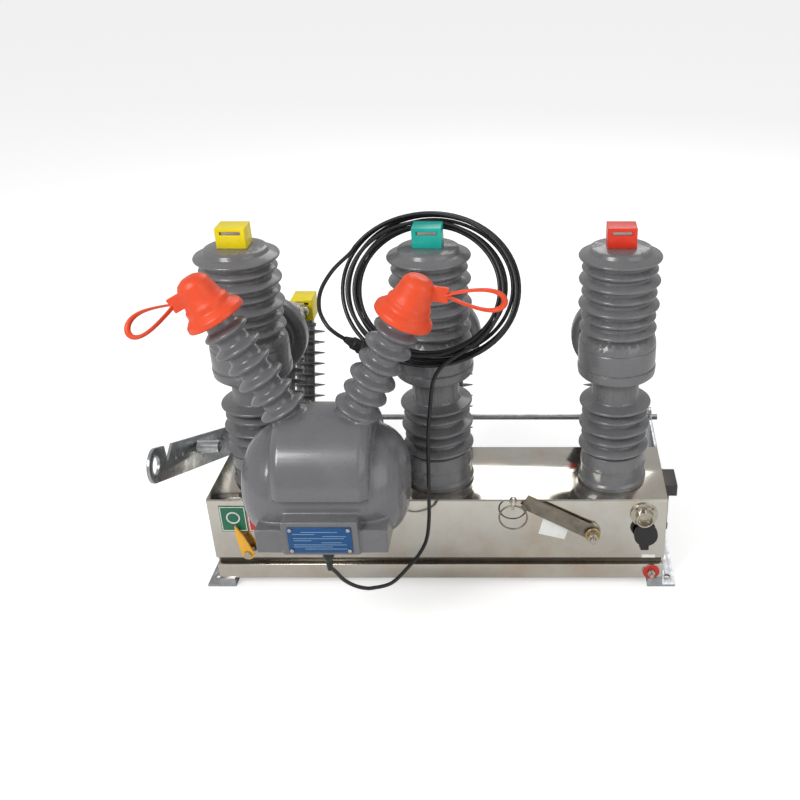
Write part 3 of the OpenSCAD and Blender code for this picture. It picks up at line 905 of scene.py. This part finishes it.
@dataclass
class BushingCap:
    """Rubber cap of one bushing, with its drop-shaped pull loop.

    Args:
        side: left or right, as in the node's name.
        sign: -1 for the left bushing, 1 for the right.
        turn: The strap's direction on the cap, in degrees.
        roll: Twist of the loop about its strap, in degrees.
        root: Middle between the two bushings' roots.
        root_half: Distance of a root from that middle.
        lean: Lean of a bushing, in degrees.
        strap_rise: Height of the strap above the root, along the bushing.
        strap_end: Where the strap stops, from the bushing's axis.
        loop_mid: Middle of the loop, from the bushing's axis.
        loop_half: Half length and half width of the loop's centre line.
        loop_r: Radius of its cord.
        drop: How much the loop narrows from its middle to an end.
        voxel: Voxel of the cap.
    """

    side: str
    sign: int
    turn: float
    roll: float
    root: Triple = (-174.0, -198.0, 457.0)
    root_half: float = 58.0
    lean: float = 27.5
    strap_rise: float = 249.0
    strap_end: float = 52.5
    loop_mid: float = 96.0
    loop_half: Pair = (47.0, 27.0)
    loop_r: float = 5.2
    drop: float = 0.38
    voxel: float = 1.6

    def build(self, shop: Shop) -> None:
        """Moulds the cap, cuts its strap and adds the loop.

        Args:
            shop: The shop.
        """
        place = self._strap_frame()
        cap = shop.remake(f"transformer_cap_{self.side}", Make.CAST, self.voxel)
        only(cap)
        bpy.ops.object.mode_set(mode="EDIT")
        bpy.ops.mesh.select_all(action="SELECT")
        bpy.ops.mesh.bisect(
            plane_co=place @ Vector((self.strap_end * MM, 0, 0)),
            plane_no=place.to_3x3() @ Vector((1, 0, 0)),
            use_fill=True,
            clear_outer=True,
        )
        bpy.ops.object.mode_set(mode="OBJECT")
        shop.hand_over(self._loop(place), "base", "orange_rubber")

    def _strap_frame(self) -> Matrix:
        """Gives the frame of the strap, with X along it and its origin on the bushing's axis."""
        x, y, z = self.root
        root = Matrix.Translation(Vector((x + self.sign * self.root_half, y, z)) * MM)
        lean = Matrix.Rotation(math.radians(self.sign * self.lean), 4, "Y")
        rise = Matrix.Translation(Vector((0, 0, self.strap_rise)) * MM)
        turn = Matrix.Rotation(math.radians(self.turn), 4, "Z")
        return root @ lean @ rise @ Matrix.Rotation(QUARTER, 4, "X") @ turn

    def _loop(self, place: Matrix) -> bpy.types.Object:
        """Moulds the loop as a ring that narrows towards its strap.

        Args:
            place: The strap's frame.

        Returns:
            The loop.
        """
        deselect()
        reach = self.loop_half[0] * MM
        bpy.ops.mesh.primitive_torus_add(
            major_segments=64, minor_segments=14, major_radius=reach, minor_radius=self.loop_r * MM
        )
        loop = made(f"cap_loop_{self.side}")
        width = self.loop_half[1] / self.loop_half[0]
        for vertex in loop.data.vertices:
            along = max(-1.0, min(1.0, vertex.co.x / reach))
            vertex.co.y *= width * (1 - self.drop + self.drop * along)
        out = Matrix.Translation(Vector((self.loop_mid * MM, 0, 0)))
        loop.data.transform(place @ out @ Matrix.Rotation(math.radians(self.roll), 4, "X"))
        bpy.ops.object.shade_smooth()
        return loop


@dataclass
class Cable:
    """Secondary cable: from the gland down, up into a coil of loose turns, and to its plug.

    Args:
        radius: Radius of the jacket.
        turns: Turns of the coil.
        start: Angle at which the cable joins the coil, in degrees.
        tilt: Lean of the coil's plane to the rear, in degrees.
        middle: The coil's middle.
        half_wide: Half width of the bundle's centre line.
        half_high: Half height of that line.
        bundle: Distance of a turn from that line at the coil's top and bottom.
        spread: How much further the turns stand apart at its sides.
        step: Angle between one turn and the next, round the bundle's centre line, in degrees.
        sway: How far a turn wanders round that line within one turn, in degrees.
        per_turn: Points of a turn.
        rise: The cable's points from the gland to the coil.
        tail: Its points from the coil to the plug.
        boot_mid: Middle of the boot at the gland.
        boot_size: Lower radius, upper radius and length of that boot.
    """

    radius: float = 3.5
    turns: float = 7.58
    start: float = -62.0
    tilt: float = 32.7
    middle: Triple = (2, -29.4, 615)
    half_wide: float = 141.0
    half_high: float = 125.0
    bundle: float = 11.8
    spread: float = 6.0
    step: float = 40.0
    sway: float = 35.0
    per_turn: int = 40
    rise: tuple[Triple, ...] = (
        (-160, -315, 238), (-159.5, -314.5, 224), (-153, -306, 206), (-144, -296, 182), (-132, -283, 160),
        (-118, -270, 143), (-103, -257, 132), (-72, -232, 124), (-42, -205, 142), (-24, -190, 159),
        (-12, -175, 180), (-8, -156, 209), (-7.5, -142, 244), (-6.7, -130, 301), (-5.3, -122, 360),
        (-1.8, -118, 399), (2, -116, 430), (5, -115, 455), (10, -115, 478), (22, -114, 499), (40, -110, 514),
    )
    tail: tuple[Triple, ...] = (
        (-138, -4, 672), (-166, -30, 650), (-183, -62, 625), (-182, -92, 602), (-168, -113, 583),
        (-153, -119, 570), (-138.5, -118, 559),
    )
    boot_mid: Triple = (-159.8, -314.9, 229)
    boot_size: Triple = (4.4, 6.4, 22.0)

    def build(self, shop: Shop) -> None:
        """Sweeps the jacket, and adds the boot at the gland and the plug.

        Args:
            shop: The shop.
        """
        line = self._route()
        run = self._sweep(line)
        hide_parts("voltage_cable", "cable_coil")
        shop.hand_over(run, "base", "cable_jacket")
        plug = shop.remake("cable_plug", Make.PRESSED, 1.0)
        boot = self._boot()
        shop.hand_over(boot, "base", "black_plastic")

    def _turn(self, turned: float) -> Vector:
        """Gives a point of the coil, where the turns ride round each other in the bundle.

        Args:
            turned: Turns since the cable joined the coil.

        Returns:
            The point.
        """
        angle, tilt = math.radians(self.start + 360 * turned), math.radians(self.tilt)
        across = Vector((0, -math.cos(tilt), math.sin(tilt)))
        up = Vector((0, math.sin(tilt), math.cos(tilt)))
        arm = Vector((self.half_wide * math.cos(angle), 0, 0)) + up * self.half_high * math.sin(angle)
        sway = self.sway * math.sin(angle - math.radians(self.start))
        swing = math.radians(90 + self.step * turned + sway)
        reach = self.bundle + self.spread * math.cos(angle) ** 2
        ride = math.cos(swing) * arm.normalized() + math.sin(swing) * across
        return Vector(self.middle) + arm + reach * ride

    def _route(self) -> list[Vector]:
        """Joins riser, coil and tail into one smooth line.

        Returns:
            Its points.
        """
        steps = int(self.turns * self.per_turn)
        coil = [self._turn(self.turns * i / steps) for i in range(steps + 1)]
        points = [Vector(p) for p in self.rise] + coil + [Vector(p) for p in self.tail]
        first, last = len(self.rise), len(self.rise) + steps
        line: list[Vector] = []
        for i in range(len(points) - 1):
            near = [points[min(max(k, 0), len(points) - 1)] for k in range(i - 1, i + 3)]
            # the coil's points lie close together already
            parts = 2 if first < i < last else 6
            line += [self._between(*near, k / parts) for k in range(parts)]
        return [*line, points[-1]]

    @staticmethod
    def _between(before: Vector, a: Vector, b: Vector, after: Vector, t: float) -> Vector:
        """Gives a point of the smooth curve through four points.

        Args:
            before: The point before the stretch.
            a: The stretch's first point.
            b: Its last point.
            after: The point after it.
            t: Part of the stretch, 0 to 1.

        Returns:
            The point.
        """
        bend = 2 * before - 5 * a + 4 * b - after
        twist = 3 * a - before - 3 * b + after
        return 0.5 * (2 * a + (b - before) * t + bend * t * t + twist * t**3)

    def _sweep(self, line: list[Vector]) -> bpy.types.Object:
        """Sweeps the round jacket along a line.

        Args:
            line: The centre line's points.

        Returns:
            The cable as a curve.
        """
        curve = bpy.data.curves.new("cable_line", "CURVE")
        curve.dimensions = "3D"
        curve.bevel_depth = self.radius * MM
        curve.bevel_resolution = 4
        curve.use_fill_caps = True
        spline = curve.splines.new("POLY")
        spline.points.add(len(line) - 1)
        for point, place in zip(spline.points, line):
            point.co = (*(place * MM), 1.0)
        spline.use_smooth = True
        run = bpy.data.objects.new("voltage_cable_run", curve)
        bpy.context.scene.collection.objects.link(run)
        return run

    def _boot(self) -> bpy.types.Object:
        """Makes the tapered strain relief, with its ends rounded.

        Returns:
            The boot.
        """
        deselect()
        low, high, length = (size * MM for size in self.boot_size)
        bpy.ops.mesh.primitive_cone_add(
            vertices=32, radius1=low, radius2=high, depth=length, location=Vector(self.boot_mid) * MM
        )
        boot = made("gland_boot")
        break_edges(boot, 0.6)
        return smooth(boot)


@dataclass
class Studio:
    """Pale floor, soft light and the camera, in metres.

    Args:
        eye: The camera's place.
        pitch: How far it looks down, in degrees.
        lens: Focal length in millimetres.
        shift: Sideways shift of the picture.
        aim: The point that the lamps look at.
        lamps: Name, place, size and power of each lamp.
        surround: Strength of the soft light from all sides.
        floor_size: Side of the square floor.
        floor_mid: How far behind the object its middle lies.
        floor_tone: How much light it throws back.
        floor_lift: Light that the camera sees on top of that, so that the floor fades into white.
    """

    eye: Triple = (0.195, -1.671, 1.267)
    pitch: float = 28.04
    lens: float = 44.7
    shift: float = -0.1736
    aim: Triple = (0, 0, 0.35)
    lamps: tuple[tuple[str, Triple, float, float], ...] = (
        ("key", (-1.6, -2.2, 2.6), 1.2, 58),
        ("fill", (2.2, -1.6, 1.6), 2.0, 16),
        ("back", (0.4, 2.4, 2.4), 1.8, 22),
    )
    surround: float = 0.5
    floor_size: float = 80.0
    floor_mid: float = 20.0
    floor_tone: float = 0.86
    floor_lift: float = 0.44

    def build(self) -> None:
        """Sets the floor, the lights, the world and the camera."""
        self._floor()
        [self._lamp(*lamp) for lamp in self.lamps]
        self._world()
        self._camera()
        bpy.context.scene.view_settings.view_transform = "Standard"

    def _floor(self) -> bpy.types.Object:
        """Lays the floor.

        Returns:
            The floor, with a matt pale finish.
        """
        deselect()
        bpy.ops.mesh.primitive_plane_add(size=self.floor_size, location=(0, self.floor_mid, 0))
        floor = made("studio_floor")
        mat = bpy.data.materials.new("pale floor")
        mat.use_nodes = True
        shader = mat.node_tree.nodes["Principled BSDF"]
        shader.inputs["Base Color"].default_value = (*[self.floor_tone] * 3, 1)
        shader.inputs["Roughness"].default_value = 0.9
        shader.inputs["Emission Color"].default_value = (1, 1, 1, 1)
        seen = add(mat.node_tree, "ShaderNodeLightPath").outputs["Is Camera Ray"]
        lift = add(mat.node_tree, "ShaderNodeMath", {0: seen, 1: self.floor_lift}, operation="MULTIPLY")
        mat.node_tree.links.new(lift.outputs[0], shader.inputs["Emission Strength"])
        floor.data.materials.append(mat)
        return floor

    def _lamp(self, name: str, place: Triple, size: float, power: float) -> bpy.types.Object:
        """Hangs a soft square lamp that looks at the object.

        Args:
            name: The lamp's name.
            place: Its place.
            size: Its side.
            power: Its power in watts.

        Returns:
            The lamp.
        """
        data = bpy.data.lights.new(name, "AREA")
        data.size = size
        data.energy = power
        lamp = bpy.data.objects.new(name, data)
        lamp.location = place
        lamp.rotation_euler = (Vector(self.aim) - Vector(place)).to_track_quat("-Z", "Y").to_euler()
        bpy.context.scene.collection.objects.link(lamp)
        return lamp

    def _world(self) -> None:
        """Makes a soft surround that shows as white behind the object."""
        world = bpy.data.worlds.new("studio")
        bpy.context.scene.world = world
        world.use_nodes = True
        tree = world.node_tree
        tree.nodes.clear()
        path = add(tree, "ShaderNodeLightPath").outputs
        rays = {0: path["Is Camera Ray"], 1: path["Is Transmission Ray"]}
        shown = add(tree, "ShaderNodeMath", rays, operation="MAXIMUM").outputs[0]
        soft = add(tree, "ShaderNodeBackground", {"Color": (1, 1, 1, 1), "Strength": self.surround})
        white = add(tree, "ShaderNodeBackground", {"Color": (1, 1, 1, 1), "Strength": 1.0})
        mix = add(tree, "ShaderNodeMixShader", {0: shown, 1: soft.outputs[0], 2: white.outputs[0]})
        add(tree, "ShaderNodeOutputWorld", {"Surface": mix.outputs[0]})

    def _camera(self) -> None:
        """Sets the camera at its place and makes it the scene's own."""
        data = bpy.data.cameras.new("view")
        data.lens = self.lens
        data.shift_x = self.shift
        data.clip_end = 50
        camera = bpy.data.objects.new("view", data)
        camera.location = self.eye
        camera.rotation_euler = (math.radians(90 - self.pitch), 0, 0)
        bpy.context.scene.collection.objects.link(camera)
        bpy.context.scene.camera = camera


def main() -> None:
    """Builds the sub-assemblies in order."""
    logging.basicConfig(level=logging.INFO)
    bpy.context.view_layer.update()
    shop = Shop(frame)
    shop.mix_paints()
    left_cap = BushingCap("left", -1, turn=182, roll=40)
    right_cap = BushingCap("right", 1, turn=20, roll=12)
    parts = (Housing(), FrontMarks(), Poles(), Isolator(), VoltageTransformer(), left_cap, right_cap, Cable())
    for part in parts:
        part.build(shop)
    Studio().build()


if __name__ == "__main__":
    main()
